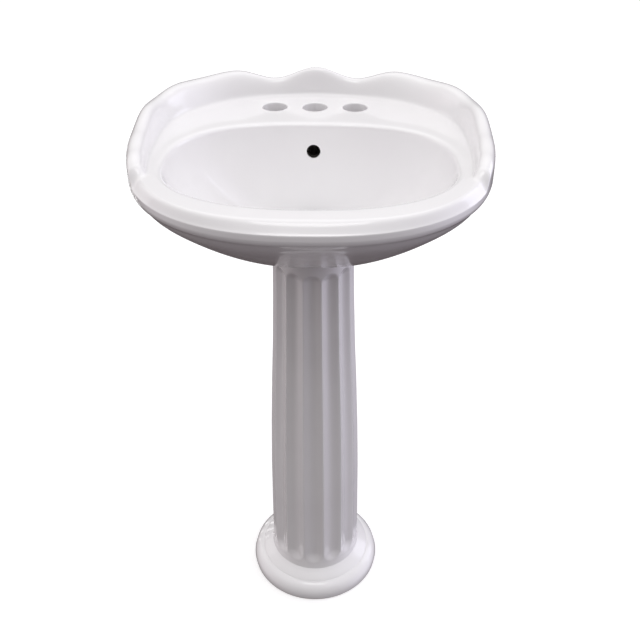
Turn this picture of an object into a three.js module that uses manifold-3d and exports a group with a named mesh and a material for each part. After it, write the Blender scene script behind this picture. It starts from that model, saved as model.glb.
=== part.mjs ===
// A pedestal sink: a china basin with a scalloped rail, on a fluted china column, with its waste,
// trap and fixings. Millimetres, +Z up, the user stands at -Y and the wall is at +Y.
// The floor is z = 0, and x = 0, y = 0 is the middle of the whole sink.
import * as THREE from "three";
import Module from "manifold-3d";
import { mergeVertices } from "three/addons/utils/BufferGeometryUtils.js";

const { PI, abs, atan2, cos, hypot, max, min, sign, sin } = Math;
const TURN = 2 * PI;

// Driving sizes.
const DECK_Z = 735;
const DECK_THICK = 12;
const APRON = 26;
const WALL_Y = 190.5;
const COLUMN_Y = 38;
const SEAT_Z = 589.5;
const DRAIN_Y = 24;
const FLANGE_R = 29.5;
const BOWL_DEPTH = 122;
const FLOOR_Z = DECK_Z - BOWL_DEPTH;
const FAUCET_Y = 133;
const FAUCET_PITCH = 50.8;
const FAUCET_R = 15.5;
const OVERFLOW_Z = DECK_Z - 35;
const DUCT_Y = 88;
const BOLT = { x: 70, z: 650, r: 4 };
const SKIRT_THICK = 17;
const FLUTES = 14;
const PIPE = { r: 16, wall: 1.5 };
const GAP = 0.3;

// Plan outlines: a rounded box with its own front and back half-depths about (0, y).
const OUTER = { y: 20, side: 206, front: 210.5, back: 182, frontPower: 2.4, backPower: 2.6 };
const RAIL_FOOT = { y: 20, side: 180, front: 190, back: 152, frontPower: 3, backPower: 2.3 };
const OPENING = { y: -43.5, side: 160, front: 108, back: 118, frontPower: 2.3, backPower: 2.7 };
const POCKET = { y: 122, side: 150, front: 60, back: 54.5, frontPower: 3, backPower: 4 };

// Rail height against the angle from the middle of the back, in degrees: its crests and dips.
const RAIL_WAVE = [
  [0, 35], [18.5, 20.5], [34, 32], [48, 29.5], [59, 31], [70, 27.5],
  [80, 28.5], [98, 19], [110, 14], [117, 9.5],
  [121, 0], [180, 0],
];

// Column radius against height, above the moulded base.
const COLUMN = [
  [46, 68], [90, 68.4], [205, 66.5], [287, 64], [378, 60.1],
  [434, 57.1], [506, 54.3], [550, 53], [587, 52.5],
];

const wasm = await Module();
wasm.setup();
const { Manifold, Mesh } = wasm;

const mix = (a, b, t) => a + (b - a) * t;
const smooth = (low, high, x) => {
  const t = min(max((x - low) / (high - low), 0), 1);
  return t * t * (3 - 2 * t);
};

// Reading of a table of [x, y] rows, in straight lines, or easing in and out of each row.
function read(table, x, eased = false) {
  for (let i = 1; i < table.length; i++) {
    const [[x0, y0], [x1, y1]] = [table[i - 1], table[i]];
    const share = max(0, (x - x0) / (x1 - x0));
    if (x <= x1) return mix(y0, y1, eased ? smooth(0, 1, share) : share);
  }
  return table.at(-1)[1];
}

const angles = (count) => Array.from({ length: count }, (_, i) => (TURN * i) / count);

// The point of a plan outline at an angle, moved outwards by grow.
function onOutline(shape, angle, grow = 0) {
  const c = cos(angle);
  const s = sin(angle);
  const depth = s < 0 ? shape.front : shape.back;
  const power = s < 0 ? shape.frontPower : shape.backPower;
  const r = (abs(c / shape.side) ** power + abs(s / depth) ** power) ** (-1 / power) + grow;
  return [r * c, shape.y + r * s];
}

// A skin over rings of points. Closed skins join the last ring to the first, others get end caps.
function skin(rings, closed = false) {
  const n = rings[0].length;
  const points = rings.flat();
  const faces = [];
  for (let i = 0; i < (closed ? rings.length : rings.length - 1); i++) {
    const next = ((i + 1) % rings.length) * n;
    for (let j = 0; j < n; j++) {
      const k = (j + 1) % n;
      faces.push([i * n + j, i * n + k, next + k], [i * n + j, next + k, next + j]);
    }
  }
  if (!closed)
    for (const [ring, start] of [[rings[0], 0], [rings.at(-1), points.length - n]]) {
      const middle = points.length;
      points.push([0, 1, 2].map((a) => ring.reduce((sum, p) => sum + p[a] / n, 0)));
      for (let j = 0; j < n; j++) {
        const pair = [start + j, start + ((j + 1) % n)];
        faces.push(start ? [...pair, middle] : [pair[1], pair[0], middle]);
      }
    }
  return outward(points, faces);
}

// The solid of a closed skin, turned so that its faces point out.
function outward(points, faces) {
  const volume = faces.reduce((sum, [a, b, c]) => {
    const [p, q, r] = [points[a], points[b], points[c]].map((v) => new THREE.Vector3(...v));
    return sum + p.dot(q.cross(r));
  }, 0);
  const order = volume < 0 ? faces.map((f) => f.toReversed()) : faces;
  const geometry = new THREE.BufferGeometry();
  geometry.setAttribute("position", new THREE.Float32BufferAttribute(points.flat(), 3));
  geometry.setIndex(order.flat());
  const whole = mergeVertices(geometry, 1e-3);
  return new Manifold(
    new Mesh({
      numProp: 3,
      vertProperties: whole.attributes.position.array,
      triVerts: new Uint32Array(whole.index.array),
    }),
  );
}

// A turned solid from [radius, height] rows. across(angle) shapes the rows marked with a third value.
function turned(rows, { count = 20, closed = true, across = () => 1 } = {}) {
  return skin(
    rows.map(([r, z, shaped]) =>
      angles(count).map((a) => {
        const wide = r * (shaped ? across(a) : 1);
        return [wide * cos(a), wide * sin(a), z];
      }),
    ),
    closed,
  );
}

const rod = (r, low, high, count = 20) => turned([[r, low], [r, high]], { closed: false, count });
const washer = (inner, outer, low, high) =>
  turned([[inner, low], [outer, low], [outer, high], [inner, high]]);
const at = (solid, x, y, z = 0) => solid.translate([x, y, z]);
const alongY = (solid) => solid.rotate([-90, 0, 0]);

function box(low, high) {
  const ring = (z) => [
    [low[0], low[1], z], [high[0], low[1], z], [high[0], high[1], z], [low[0], high[1], z],
  ];
  return skin([ring(low[2]), ring(high[2])]);
}

function prism(shape, low, high, count = 48) {
  return skin([low, high].map((z) => angles(count).map((a) => [...onOutline(shape, a), z])));
}

// A nut with flats, or with lobes for turning by hand. Its widest radius is r.
function nut(bore, r, low, high, flats = 6) {
  const step = TURN / flats;
  const flat = (a) => cos(step / 2) / cos((((a % step) + step) % step) - step / 2);
  const bevel = min(1.5, (high - low) / 5);
  const rows = [
    [bore, low], [r * 0.93, low, 1], [r, low + bevel, 1],
    [r, high - bevel, 1], [r * 0.93, high, 1], [bore, high],
  ];
  return turned(rows, { count: flats * 4, across: flat });
}

// A pipe along a path of [y, z] points in the plane x = 0, with its own wall.
function pipe(path, { r, wall }, count = 20) {
  const ends = path.length - 1;
  const ringsAt = (radius) =>
    path.map(([y, z], i) => {
      const before = path[max(i - 1, 0)];
      const after = path[min(i + 1, ends)];
      const length = hypot(after[0] - before[0], after[1] - before[1]);
      const [ny, nz] = [(after[1] - before[1]) / length, -(after[0] - before[0]) / length];
      return angles(count).map((a) => [
        radius * cos(a), y + radius * sin(a) * ny, z + radius * sin(a) * nz,
      ]);
    });
  return skin([...ringsAt(r), ...ringsAt(r - wall).reverse()], true);
}

// Points of an arc in the plane x = 0, from one angle to another.
function arc(y, z, r, from, to, steps) {
  return Array.from({ length: steps + 1 }, (_, i) => {
    const a = mix(from, to, i / steps);
    return [y + r * cos(a), z + r * sin(a)];
  });
}

// ---- The basin

const railHeight = (x, y) => read(RAIL_WAVE, abs(atan2(x, y - OUTER.y)) * (180 / PI), true);

// The bowl at one angle. sunk runs from 0 at the opening to 1 at the drain.
function onBowl(angle, sunk, grow = 0) {
  const turn = (sunk * PI) / 2;
  const depth = sin(turn);
  const reach = cos(turn) * (1 - 0.28 * depth);
  const [x, y] = onOutline(OPENING, angle, grow);
  const flat = FLANGE_R + 2 + grow;
  return [
    mix(flat * cos(angle), x, reach),
    mix(DRAIN_Y + flat * sin(angle), y, reach),
    DECK_Z - 6 - grow - (BOWL_DEPTH - 6) * depth,
  ];
}

const BOWL_STEPS = [1, 0.93, 0.85, 0.7, 0.55, 0.4, 0.26, 0.13, 0];
const RAIL_STEPS = [[0, 0.04], [0.12, 0.5], [0.28, 0.9], [0.5, 1], [0.75, 0.92], [0.93, 0.62], [1, 0.3]];
const UNDER_STEPS = [0.95, 0.85, 0.72, 0.58, 0.44, 0.3];

// One section of the basin, from the drain up over the bowl, deck and rail, then down and under.
function basinSection(angle) {
  const section = BOWL_STEPS.map((sunk) => onBowl(angle, sunk));
  section.push([...onOutline(OPENING, angle, 2), DECK_Z - 1.6]);
  section.push([...onOutline(OPENING, angle, 6), DECK_Z]);
  section.push([...onOutline(RAIL_FOOT, angle, -4), DECK_Z]);
  const foot = onOutline(RAIL_FOOT, angle);
  const edge = onOutline(OUTER, angle);
  edge[1] = min(edge[1], WALL_Y);
  const height = railHeight(...edge);
  for (const [across, rise] of RAIL_STEPS) {
    const roll = 9 * smooth(0.6, 1.15, across) * (1 - smooth(0, 12, height));
    section.push([
      mix(foot[0], edge[0], across), mix(foot[1], edge[1], across), DECK_Z + height * rise - roll,
    ]);
  }
  const skirt = 90 * (1 - smooth(92, 135, abs(edge[0]))) * smooth(100, 150, edge[1]);
  const hem = DECK_Z - APRON - skirt;
  section.push([...edge, DECK_Z - 12]);
  section.push([...edge, hem + 5]);
  const tucked = edge[1] >= WALL_Y
    ? [edge[0], edge[1] - 5]
    : edge.map((v, i) => v - 5 * sign(v) * (i ? 1 : 0.8));
  section.push([...tucked, hem]);
  for (const s of UNDER_STEPS)
    section.push([
      edge[0] * s, mix(COLUMN_Y, edge[1], s), mix(SEAT_Z, hem, s ** 1.9),
    ]);
  section.push([54 * cos(angle), COLUMN_Y + 54 * sin(angle), SEAT_Z]);
  return section;
}

// The space behind the bowl, open below, where the faucet and wall bolts are reached.
function rearPocket() {
  const ring = (place) => angles(48).map(place);
  const bowl = skin([
    ring((a) => [...onOutline(OPENING, a, DECK_THICK), DECK_Z + 1]),
    ...BOWL_STEPS.toReversed().map((sunk) => ring((a) => onBowl(a, sunk, DECK_THICK))),
  ]);
  return prism(POCKET, SEAT_Z - 30, DECK_Z - DECK_THICK)
    .subtract(bowl)
    .subtract(box([-14, 50, SEAT_Z - 1], [14, DUCT_Y + 12, OVERFLOW_Z + 14]))
    .subtract(at(rod(62, SEAT_Z - 1, SEAT_Z + 24, 36), 0, COLUMN_Y));
}

// The overflow: a port in the bowl's back wall, a duct down and a passage to the drain.
function overflowWay() {
  const port = at(alongY(rod(8.5, 0, 50)), 0, DUCT_Y - 50, OVERFLOW_Z);
  const duct = at(rod(6.5, SEAT_Z + 4, OVERFLOW_Z + 6), 0, DUCT_Y);
  const passage = at(alongY(rod(4.5, DRAIN_Y, DUCT_Y)), 0, 0, SEAT_Z + 9);
  return port.add(duct).add(passage);
}

function basin() {
  const sections = angles(72).map(basinSection);
  let solid = skin(sections[0].map((_, row) => sections.map((section) => section[row])));
  solid = solid.subtract(rearPocket()).subtract(overflowWay());
  for (const side of [-1, 0, 1])
    solid = solid.subtract(at(rod(FAUCET_R, DECK_Z - 40, DECK_Z + 10, 28), side * FAUCET_PITCH, FAUCET_Y));
  for (const side of [-1, 1])
    solid = solid.subtract(at(alongY(rod(BOLT.r + 2, 100, WALL_Y + 5)), side * BOLT.x, 0, BOLT.z));
  const drain = rod(22.5, SEAT_Z - 20, FLOOR_Z + 20, 28)
    .add(rod(FLANGE_R + 1, FLOOR_Z - 3, FLOOR_Z + 3, 28));
  return solid.subtract(at(drain, 0, DRAIN_Y));
}

// ---- The pedestal

// The flutes run straight between these heights, and end in round scoops above and below.
const FLUTE = { depth: 3.4, low: 68, high: 562, scoopBelow: 20, scoopAbove: 12 };

// How deep a flute cuts at this angle and height.
function flute(angle, z) {
  const turn = (FLUTES * (angle + PI / 2)) / TURN;
  const across = 2 * (turn - Math.round(turn));
  const past = max(0, (FLUTE.low - z) / FLUTE.scoopBelow, (z - FLUTE.high) / FLUTE.scoopAbove);
  return FLUTE.depth * max(0, 1 - across * across - past * past) ** 0.8;
}

function pedestal() {
  const base = [
    [100, 0], [101, 7], [99, 15], [94, 21.5], [88, 25.5],
    [85.5, 26], [83, 29], [76, 33], [70, 38],
  ];
  const heights = [46, 52, 58, 68, 90, 150, 205, 287, 378, 434, 506, 562, 568, 572, 575, 587];
  const outside = [...base, ...heights.map((z) => [read(COLUMN, z), z])];
  const inside = [[43, 587], [43.5, 550], [56, 205], [58, 60], [63, 22], [84, 9], [86, 0]];
  const count = FLUTES * 6;
  const rings = [...outside, ...inside].map(([r, z], i) =>
    angles(count).map((a) => {
      const wide = r - (i < outside.length ? flute(a, z) : 0);
      return [wide * cos(a), COLUMN_Y + wide * sin(a), z];
    }),
  );
  return skin(rings, true)
    .subtract(box([-30, COLUMN_Y + 20, 12], [30, COLUMN_Y + 120, 560]))
    .add(box([-30, COLUMN_Y + 54, 0], [30, COLUMN_Y + 88, 12]))
    .subtract(at(rod(5, -5, 30), 0, COLUMN_Y + 72));
}

// ---- The waste

const TAIL_TOP = 560;
const TAIL_LOW = 452;
const BEND_R = 32;
const ARM_Z = 512;

const drainGasket = () =>
  onDrain(
    turned([
      [20 + GAP, SEAT_Z - 8], [25.5, SEAT_Z - 8], [25.5, SEAT_Z - 3],
      [24, SEAT_Z - GAP], [20 + GAP, SEAT_Z - GAP],
    ]),
  );

// The threaded drain body with its flange and the slots that let the overflow in.
function drainBody() {
  const shell = turned(
    [
      [17, TAIL_TOP - 20], [20, TAIL_TOP - 20], [20, FLOOR_Z - 8],
      [21.5, FLOOR_Z - 2.4], [FLANGE_R, FLOOR_Z - 2.4],
      [FLANGE_R, FLOOR_Z - 1.2], [26, FLOOR_Z + 0.8], [24, FLOOR_Z - 0.4],
      [17.5, FLOOR_Z - 5], [17, FLOOR_Z - 9],
    ],
    { count: 28 },
  );
  const slot = box([-26, -3, SEAT_Z + 4], [26, 3, SEAT_Z + 14]);
  return at(shell.subtract(slot).subtract(slot.rotate([0, 0, 90])), 0, DRAIN_Y);
}

// The fixed guide that the stopper clicks in: a hub on spokes inside the drain body.
function stopperGuide() {
  const hub = washer(4.5, 7, SEAT_Z - 36, SEAT_Z - 12);
  const rim = washer(14.5, 17 - GAP, SEAT_Z - 30, SEAT_Z - 24);
  let guide = hub.add(rim);
  for (let i = 0; i < 4; i++)
    guide = guide.add(box([6, -1.2, SEAT_Z - 29], [15.5, 1.2, SEAT_Z - 25]).rotate([0, 0, 45 + 90 * i]));
  return at(guide, 0, DRAIN_Y);
}

const LIFT = 12;
const capAt = FLOOR_Z - 0.5 + LIFT;

function stopperCap() {
  const rows = [
    [4, capAt - 1.5], [12, capAt - 1.5], [12, capAt], [22, capAt],
    [22.4, capAt + 1.2], [20, capAt + 2.6], [9, capAt + 3.6],
  ];
  return at(turned(rows, { closed: false, count: 28 }), 0, DRAIN_Y);
}

const stopperSeal = () => at(washer(12 + GAP, 18.5, capAt - 2.4, capAt - GAP), 0, DRAIN_Y);

function stopperStem() {
  const rows = [[4.2, SEAT_Z - 34 + LIFT], [4.2, capAt - 9], [8.5, capAt - 6], [8.5, capAt - 1.5 - GAP]];
  return at(turned(rows, { closed: false }), 0, DRAIN_Y);
}

const bendPath = () => [
  [DRAIN_Y, TAIL_LOW + 8],
  ...arc(DRAIN_Y + BEND_R, TAIL_LOW - 14, BEND_R, PI, TURN, 12),
  [DRAIN_Y + 2 * BEND_R, TAIL_LOW + 8],
];

const armPath = () => {
  const y = DRAIN_Y + 2 * BEND_R;
  return [
    [y, TAIL_LOW + 8 + GAP],
    ...arc(y + 26, ARM_Z - 26, 26, PI, PI / 2, 6),
    [WALL_Y - GAP, ARM_Z],
  ];
};

const escutcheon = () => {
  const rows = [[16 + GAP, 0], [36, 0], [36, 1.5], [28, 6], [20, 8.5], [16 + GAP, 8.5]];
  return at(alongY(turned(rows, { count: 28 })).rotate([0, 0, 180]), 0, WALL_Y, ARM_Z);
};

// ---- Fixings

// A wall bolt with a domed end, its plastic washer and its nut, on one side of the sink.
const boltStart = WALL_Y - SKIRT_THICK;
const hangerBolt = (side) => at(alongY(rod(BOLT.r, boltStart - 17, WALL_Y, 16)), side * BOLT.x, 0, BOLT.z);
const hangerWasher = (side) =>
  at(alongY(washer(BOLT.r + GAP, 13, boltStart - 3 - GAP, boltStart - GAP)), side * BOLT.x, 0, BOLT.z);
const hangerNut = (side) =>
  at(alongY(nut(BOLT.r + GAP, 8, boltStart - 11, boltStart - 3 - 2 * GAP)), side * BOLT.x, 0, BOLT.z);

const seatPad = (turn) =>
  at(rod(4, 587 + GAP, SEAT_Z - GAP, 16), 47.7 * cos(turn), COLUMN_Y + 47.7 * sin(turn));

const FLOOR_BOLT_Y = COLUMN_Y + 72;
const floorBolt = () => {
  const rows = [[3.5, 1], [3.5, 14 + GAP], [7.5, 14 + GAP], [7.5, 17], [5, 20]];
  return at(turned(rows, { closed: false }), 0, FLOOR_BOLT_Y);
};

const COLOURS = {
  china: ["#f4f2f1", 0.08, 0],
  chrome: ["#c9ccd0", 0.12, 1],
  brass: ["#b8924a", 0.3, 1],
  rubber: ["#26262a", 0.8, 0],
  plastic: ["#e6e6e2", 0.45, 0],
  zinc: ["#a9adb0", 0.35, 1],
};

const sink = new THREE.Group();

function put(name, solid, kind) {
  const mesh = solid.getMesh();
  const geometry = new THREE.BufferGeometry();
  geometry.setAttribute("position", new THREE.BufferAttribute(new Float32Array(mesh.vertProperties), 3));
  geometry.setIndex(Array.from(mesh.triVerts));
  geometry.computeVertexNormals();
  const [color, roughness, metalness] = COLOURS[kind];
  const made = new THREE.Mesh(geometry, new THREE.MeshStandardMaterial({ color, roughness, metalness }));
  made.name = name;
  sink.add(made);
}

const onDrain = (solid) => at(solid, 0, DRAIN_Y);

put("basin", basin(), "china");
put("pedestal", pedestal(), "china");
put("drain_body", drainBody(), "chrome");
put("flange_seal", onDrain(washer(22, FLANGE_R - 1, FLOOR_Z - 2.95, FLOOR_Z - 2.45)), "rubber");
put("drain_gasket", drainGasket(), "rubber");
put("drain_washer", onDrain(washer(20 + GAP, 25.5, SEAT_Z - 10, SEAT_Z - 8 - GAP)), "plastic");
put("drain_locknut", onDrain(nut(20 + GAP, 26, SEAT_Z - 19, SEAT_Z - 10 - GAP)), "brass");
put("stopper_guide", stopperGuide(), "plastic");
put("stopper_cap", stopperCap(), "chrome");
put("stopper_seal", stopperSeal(), "rubber");
put("stopper_stem", stopperStem(), "plastic");
put("tailpiece", pipe([[DRAIN_Y, TAIL_TOP - 20 - GAP], [DRAIN_Y, TAIL_LOW + 8 + GAP]], PIPE), "chrome");
put("tailpiece_nut", onDrain(nut(20 + GAP, 26, TAIL_TOP - 28, TAIL_TOP - 12, 8)), "chrome");
put("trap_bend", pipe(bendPath(), PIPE), "chrome");
put("trap_arm", pipe(armPath(), PIPE), "chrome");
for (const [where, y] of [["inlet", DRAIN_Y], ["outlet", DRAIN_Y + 2 * BEND_R]]) {
  put(`trap_${where}_nut`, at(nut(PIPE.r + GAP, 24, TAIL_LOW - 2, TAIL_LOW + 13, 8), 0, y), "chrome");
  const seal = washer(PIPE.r + GAP, 20, TAIL_LOW + 13 + GAP, TAIL_LOW + 17);
  put(`trap_${where}_washer`, at(seal, 0, y), "plastic");
}
put("wall_escutcheon", escutcheon(), "chrome");
for (const [name, side] of [["left", -1], ["right", 1]]) {
  put(`hanger_bolt_${name}`, hangerBolt(side), "zinc");
  put(`hanger_washer_${name}`, hangerWasher(side), "plastic");
  put(`hanger_nut_${name}`, hangerNut(side), "zinc");
}
[-150, -90, -30].forEach((turn, i) => put(`seat_pad_${i + 1}`, seatPad((turn * PI) / 180), "rubber"));
put("floor_bolt", floorBolt(), "zinc");
put("floor_washer", at(washer(3.5 + GAP, 10, 12 + GAP, 14), 0, FLOOR_BOLT_Y), "zinc");

export default sink;
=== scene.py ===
"""A pedestal sink: a glazed china basin with a scalloped rail on a fluted china column.

Sizes are in millimetres until mesh_object() and fill_in() turn them into metres.
"""

import math

import bmesh
import bpy
import numpy as np
from mathutils import Matrix, Vector


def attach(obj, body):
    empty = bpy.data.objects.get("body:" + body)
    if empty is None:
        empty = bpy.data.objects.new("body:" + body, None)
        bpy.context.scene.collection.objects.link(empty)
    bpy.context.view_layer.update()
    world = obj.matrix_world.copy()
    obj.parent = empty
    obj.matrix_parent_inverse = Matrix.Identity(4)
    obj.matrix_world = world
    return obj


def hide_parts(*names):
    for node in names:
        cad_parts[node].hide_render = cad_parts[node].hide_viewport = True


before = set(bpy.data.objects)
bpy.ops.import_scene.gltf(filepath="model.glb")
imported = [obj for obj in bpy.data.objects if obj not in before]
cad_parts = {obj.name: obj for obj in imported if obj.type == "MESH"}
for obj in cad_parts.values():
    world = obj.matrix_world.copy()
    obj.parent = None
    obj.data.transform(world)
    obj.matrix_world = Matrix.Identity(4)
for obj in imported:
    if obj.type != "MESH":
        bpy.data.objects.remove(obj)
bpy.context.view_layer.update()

TURN = 2 * math.pi
MM = 0.001
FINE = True

# Driving sizes, shared with the CAD.
DECK_Z = 735.0
DECK_THICK = 12.0
APRON = 26.0
WALL_Y = 190.5
COLUMN_Y = 38.0
SEAT_Z = 589.5
COLUMN_TOP = 587.0
DRAIN_Y = 24.0
FLANGE_R = 29.5
BOWL_DEPTH = 122.0
FLOOR_Z = DECK_Z - BOWL_DEPTH
FAUCET_Y = 133.0
FAUCET_PITCH = 50.8
FAUCET_R = 15.5
OVERFLOW_Z = DECK_Z - 35.0
DUCT_Y = 88.0
BOLT_X = 70.0
BOLT_Z = 650.0
BOLT_R = 4.0
SKIRT_THICK = 17.0
PIPE_R = 16.0
PIPE_WALL = 1.5
TAIL_TOP = 560.0
TAIL_LOW = 452.0
BEND_R = 32.0
ARM_Z = 512.0
FLOOR_BOLT_Y = COLUMN_Y + 72.0
STOPPER_Z = FLOOR_Z + 11.5
GAP = 0.3
AXIS = 0.05

# Plan outlines: a rounded box with its own front and back half-depths about (0, y).
OUTER = dict(y=20, side=206, front=210.5, back=182, front_power=2.4, back_power=2.6)
RAIL_FOOT = dict(y=20, side=180, front=190, back=152, front_power=3, back_power=2.3)
OPENING = dict(y=-43.5, side=160, front=108, back=118, front_power=2.3, back_power=2.7)
POCKET = dict(y=122, side=150, front=60, back=54.5, front_power=3, back_power=4)

# Rail height against the angle from the middle of the back, in degrees: its crests and dips.
RAIL_WAVE = [(0, 35), (18.5, 20.5), (34, 32), (48, 29.5), (59, 31), (70, 27.5), (80, 28.5),
             (98, 19), (110, 14), (117, 9.5), (121, 0), (180, 0)]
RAIL_END = 119.0

# Column radius against height, and the moulded base below it.
COLUMN = [(587, 52.5), (550, 53), (506, 54.3), (434, 57.1), (378, 60.1),
          (287, 64), (205, 66.5), (90, 68.4), (46, 68)]
BASE = [(70, 38), (76, 33), (83, 29), (85.5, 26), (88, 25.5), (94, 21.5), (99, 15), (101, 7), (100, 0)]
HOLLOW = [(86, 0), (84, 9), (63, 22), (58, 60), (56, 205), (43.5, 550), (43, 587)]
FLUTES = dict(Count=14, Depth=5.4, Low=68, High=562, ScoopBelow=20, ScoopAbove=12)


# ---- Shapes

def smooth(low, high, x):
    t = np.clip((x - low) / (high - low), 0, 1)
    return t * t * (3 - 2 * t)


def eased(table, x):
    """Reads a table of (x, y) rows, easing in and out of each row."""
    xs, ys = map(np.array, zip(*table))
    i = np.clip(np.searchsorted(xs, x, side="right") - 1, 0, len(xs) - 2)
    share = smooth(0, 1, (x - xs[i]) / (xs[i + 1] - xs[i]))
    return ys[i] + (ys[i + 1] - ys[i]) * share


def angles(count):
    return np.arange(count) * TURN / count


def outline(shape, angle, grow=0.0):
    c = np.cos(angle)
    s = np.sin(angle)
    depth = np.where(s < 0, shape["front"], shape["back"])
    power = np.where(s < 0, shape["front_power"], shape["back_power"])
    r = (np.abs(c / shape["side"]) ** power + np.abs(s / depth) ** power) ** (-1 / power) + grow
    return r * c, shape["y"] + r * s


def mesh_object(name, points, faces):
    mesh = bpy.data.meshes.new(name)
    mesh.from_pydata((np.asarray(points) * MM).tolist(), [], faces)
    mesh.validate()
    made = bpy.data.objects.new(name, mesh)
    bpy.context.scene.collection.objects.link(made)
    return made


def skin(name, rings, closed=False):
    """A skin of quads over rings of points, closed on itself or with capped ends, facing out."""
    rings = np.asarray(rings, float)
    rows, n = rings.shape[:2]
    faces = []
    for i in range(rows if closed else rows - 1):
        here = i * n
        there = (i + 1) % rows * n
        for j in range(n):
            k = (j + 1) % n
            faces.append((here + j, here + k, there + k, there + j))
    if not closed:
        faces.append(tuple(range(n))[::-1])
        faces.append(tuple(range((rows - 1) * n, rows * n)))
    points = rings.reshape(-1, 3)
    a, b, c, d = (points[[f[i] for f in faces if len(f) == 4]] for i in range(4))
    volume = np.sum(a * (np.cross(b, c) + np.cross(c, d)))
    if not closed:
        middle = rings.mean(axis=(0, 1))
        a, b, c, d = a - middle, b - middle, c - middle, d - middle
        volume = np.sum(a * (np.cross(b, c) + np.cross(c, d)))
    if volume < 0:
        faces = [f[::-1] for f in faces]
    return mesh_object(name, points, faces)


def turned(name, rows, count=96, closed=True):
    """A turned body from (radius, height) rows."""
    a = angles(count)
    rings = [np.stack([r * np.cos(a), r * np.sin(a), np.full(count, float(z))], 1) for r, z in rows]
    return skin(name, rings, closed)


def rounded(corners, radius, steps=4):
    """A closed outline of (radius, height) corners, each rounded except where it meets the axis."""
    corners = np.asarray(corners, float)
    points = []
    for i, corner in enumerate(corners):
        if corner[0] <= AXIS:
            points.append(corner)
            continue
        before = corners[i - 1] - corner
        after = corners[(i + 1) % len(corners)] - corner
        cut = min(radius, np.hypot(*before) * 0.48, np.hypot(*after) * 0.48)
        start = corner + before / np.hypot(*before) * cut
        end = corner + after / np.hypot(*after) * cut
        for t in np.linspace(0, 1, steps + 1):
            points.append((1 - t) ** 2 * start + 2 * t * (1 - t) * corner + t ** 2 * end)
    return points


def ring(name, inner, outer, low, high, edge=0.5, count=96):
    """A washer or seal with rounded edges, or a pad where the inside is the axis."""
    corners = [(inner, low), (outer, low), (outer, high), (inner, high)]
    return turned(name, rounded(corners, edge), count, closed=inner > AXIS)


def solid(name, corners, edge, count=96):
    """A solid turned body: its corners run from the axis back to the axis."""
    return turned(name, rounded(corners, edge), count, closed=False)


def nut(name, bore, r, low, high, flats=6):
    """A nut: a bevelled ring whose outside is cut to flats."""
    bevel = min(1.6, (high - low) / 5)
    corners = [(bore, low), (r - bevel, low), (r, low + bevel),
               (r, high - bevel), (r - bevel, high), (bore, high)]
    made = turned(name, rounded(corners, 0.3), flats * 24)
    for vertex in made.data.vertices:
        x, y = vertex.co.x, vertex.co.y
        step = TURN / flats
        off = (math.atan2(y, x) + step / 2) % step - step / 2
        reach = r * MM * math.cos(step / 2) / math.cos(off)
        shrink = min(1, reach / math.hypot(x, y))
        vertex.co.x = x * shrink
        vertex.co.y = y * shrink
    return made


def settle(obj):
    """Applies an object's modifiers and its place to its mesh."""
    deps = bpy.context.evaluated_depsgraph_get()
    mesh = bpy.data.meshes.new_from_object(obj.evaluated_get(deps))
    obj.modifiers.clear()
    obj.data = mesh
    mesh.transform(obj.matrix_world)
    obj.matrix_world = Matrix.Identity(4)
    return obj


def subdivide(obj, levels):
    soften = obj.modifiers.new("soften", "SUBSURF")
    soften.levels = levels
    soften.render_levels = levels
    return settle(obj)


def place(obj, x=0.0, y=0.0, z=0.0, tip=0.0):
    """Tips an object about X by an angle in degrees, then moves it."""
    turn = Matrix.Rotation(math.radians(tip), 4, "X")
    obj.data.transform(Matrix.Translation((x * MM, y * MM, z * MM)) @ turn)
    return obj


def combine(obj, tool, operation="DIFFERENCE"):
    """Cuts or joins a tool into an object, and removes the tool."""
    change = obj.modifiers.new("combine", "BOOLEAN")
    change.operation = operation
    change.solver = "EXACT"
    change.object = tool
    settle(obj)
    bpy.data.objects.remove(tool)
    return obj


def mend(obj):
    """Closes any small gap that the cuts left in a mesh."""
    mesh = bmesh.new()
    mesh.from_mesh(obj.data)
    bmesh.ops.holes_fill(mesh, edges=[edge for edge in mesh.edges if edge.is_boundary])
    mesh.to_mesh(obj.data)
    mesh.free()
    return obj


def join(obj, *others):
    """Adds other meshes to an object as loose shells, and removes them."""
    with bpy.context.temp_override(active_object=obj, selected_editable_objects=[obj, *others]):
        bpy.ops.object.join()
    return obj


def soften_faces(obj, sharp=35):
    """Smooth shading, with edges sharper than an angle in degrees kept crisp."""
    obj.data.shade_smooth()
    obj.data.set_sharp_from_angle(angle=math.radians(sharp))
    return obj


# ---- Geometry node trees

def new_tree(name, inputs):
    tree = bpy.data.node_groups.new(name, "GeometryNodeTree")
    for label, kind in inputs.items():
        tree.interface.new_socket(label, in_out="INPUT", socket_type="NodeSocket" + kind)
    tree.interface.new_socket("Geometry", in_out="OUTPUT", socket_type="NodeSocketGeometry")
    return tree, tree.nodes.new("NodeGroupInput").outputs


def add_node(tree, kind, **inputs):
    """A node whose inputs are set, or linked where a socket is given."""
    made = tree.nodes.new(kind)
    for label, value in inputs.items():
        socket = made.inputs[label.replace("_", " ")]
        if isinstance(value, bpy.types.NodeSocket):
            tree.links.new(value, socket)
        else:
            socket.default_value = value
    return made


def calculate(tree, operation, *terms):
    made = tree.nodes.new("ShaderNodeMath")
    made.operation = operation
    for socket, term in zip(made.inputs, terms):
        if isinstance(term, bpy.types.NodeSocket):
            tree.links.new(term, socket)
        else:
            socket.default_value = term
    return made.outputs[0]


def end_tree(tree, geometry, material):
    """Ends a tree in Realize Instances and Set Material."""
    real = add_node(tree, "GeometryNodeRealizeInstances", Geometry=geometry)
    painted = add_node(tree, "GeometryNodeSetMaterial", Geometry=real.outputs[0], Material=material)
    tree.links.new(painted.outputs[0], tree.nodes.new("NodeGroupOutput").inputs[0])


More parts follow.
